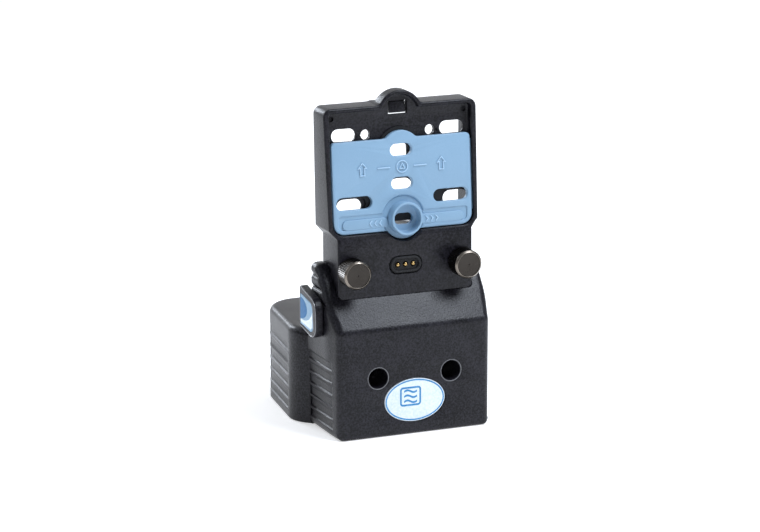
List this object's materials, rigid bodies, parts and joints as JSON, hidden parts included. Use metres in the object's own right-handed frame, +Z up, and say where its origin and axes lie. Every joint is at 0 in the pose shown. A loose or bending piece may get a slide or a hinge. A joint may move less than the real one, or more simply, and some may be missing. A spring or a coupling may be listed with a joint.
{
  "type": "portable gas detector pump dock",
  "caption": "Upright docking pump for a hand-held gas detector: boxy pump housing, tray plate with a sliding shutter, sprung contacts, thumb screws and a rear battery box.",
  "frame": {"origin": "centre of the flat bottom", "axes": "+Z up along the docking plate, -Y towards the thumb-screw face, +Y towards the rear box, inlet head on -X"},
  "size_m": [0.0876, 0.094, 0.1565],
  "materials": {
    "black_plastic": "fine textured moulded black plastic",
    "blue_plastic": "satin light blue moulded plastic",
    "black_rubber": "soft matt",
    "steel": "plain bright steel",
    "dark_knob": "blackened steel, turned and knurled",
    "gold_contact": "gold plated",
    "label": "printed gloss label",
    "board": "green solder mask",
    "chip": "moulded black",
    "cell_sleeve": "shrink sleeve",
    "grey_plastic": "moulded grey",
    "hose": "clear silicone",
    "filter": "white membrane"
  },
  "bodies": {
    "housing": {"front_housing": "black_plastic", "rear_housing": "black_plastic", "docking_plate": "black_plastic", "slide_seal": "black_rubber", "detector_seal": "black_rubber", "housing_gasket": "black_rubber", "inlet_seal": "black_rubber", "motor_sleeve": "black_rubber", "pump_diaphragm": "black_rubber", "contact_block": "black_rubber", "housing_screw_left": "steel", "housing_screw_right": "steel", "plate_screw_left": "steel", "plate_screw_right": "steel", "pump_motor": "steel", "pump_bracket": "steel", "front_badge": "label", "contact_board": "board", "control_board": "board", "processor_chip": "chip", "driver_chip": "chip", "power_coil": "chip", "board_connector": "chip", "battery_cell_1": "cell_sleeve", "battery_cell_2": "cell_sleeve", "battery_cell_3": "cell_sleeve", "inlet_socket": "grey_plastic", "pump_head": "grey_plastic", "valve_plate": "grey_plastic", "battery_holder": "grey_plastic", "flow_sensor": "grey_plastic", "inlet_hose": "hose", "outlet_hose": "hose", "inlet_filter": "filter"},
    "mode_slide": {"mode_slide": "blue_plastic"},
    "top_latch": {"top_latch": "black_plastic"},
    "left_clip": {"left_screw_clip": "steel"},
    "left_knob": {"left_thumb_screw": "dark_knob"},
    "right_clip": {"right_screw_clip": "steel"},
    "right_knob": {"right_thumb_screw": "dark_knob"},
    "pin_left": {"contact_pin_left": "gold_contact"},
    "pin_centre": {"contact_pin_centre": "gold_contact"},
    "pin_right": {"contact_pin_right": "gold_contact"},
    "inlet_head": {"inlet_cap": "black_plastic", "inlet_label": "label"},
    "pump_rotor": {"motor_shaft": "steel", "eccentric": "grey_plastic"},
    "rod": {"pump_rod": "grey_plastic"}
  },
  "joints": [
    {"name": "mode_slide_travel", "type": "slide", "parent": "housing", "child": "mode_slide", "axis": [0, 0.0854, 0.9963], "range_m": [0, 0.012]},
    {"name": "latch_flex", "type": "hinge", "parent": "housing", "child": "top_latch", "pos_m": [0, -0.02532, 0.15068], "axis": [-1, 0, 0], "range_deg": [0, 6], "stiffness_Nm_per_rad": 0.02},
    {"name": "left_screw_travel", "type": "slide", "parent": "housing", "child": "left_clip", "axis": [0, -1, 0], "range_m": [0, 0.0042]},
    {"name": "left_screw_turn", "type": "hinge", "parent": "left_clip", "child": "left_knob", "pos_m": [-0.0272, -0.0366, 0.0766], "axis": [0, -1, 0], "range_deg": [0, 2160.1]},
    {"name": "right_screw_travel", "type": "slide", "parent": "housing", "child": "right_clip", "axis": [0, -1, 0], "range_m": [0, 0.0042]},
    {"name": "right_screw_turn", "type": "hinge", "parent": "right_clip", "child": "right_knob", "pos_m": [0.0272, -0.0366, 0.0766], "axis": [0, -1, 0], "range_deg": [0, 2160.1]},
    {"name": "pin_left_press", "type": "slide", "parent": "housing", "child": "pin_left", "axis": [0, 1, 0], "range_m": [0, 0.001], "stiffness_N_per_m": 60},
    {"name": "pin_centre_press", "type": "slide", "parent": "housing", "child": "pin_centre", "axis": [0, 1, 0], "range_m": [0, 0.001], "stiffness_N_per_m": 60},
    {"name": "pin_right_press", "type": "slide", "parent": "housing", "child": "pin_right", "axis": [0, 1, 0], "range_m": [0, 0.001], "stiffness_N_per_m": 60},
    {"name": "inlet_head_pull", "type": "slide", "parent": "housing", "child": "inlet_head", "axis": [-1, 0, 0], "range_m": [0, 0.008]},
    {"name": "pump_drive", "type": "hinge", "parent": "housing", "child": "pump_rotor", "pos_m": [0, -0.0295, 0.0126], "axis": [1, 0, 0], "continuous": true},
    {"name": "rod_stroke", "type": "slide", "parent": "housing", "child": "rod", "axis": [0, 0, 1], "range_m": [-0.0008, 0.0008], "stiffness_N_per_m": 50}
  ],
  "couplings": [
    {"joint": "left_screw_turn", "follows": "left_screw_travel", "rad_per_m": 8976},
    {"joint": "right_screw_turn", "follows": "right_screw_travel", "rad_per_m": 8976}
  ]
}
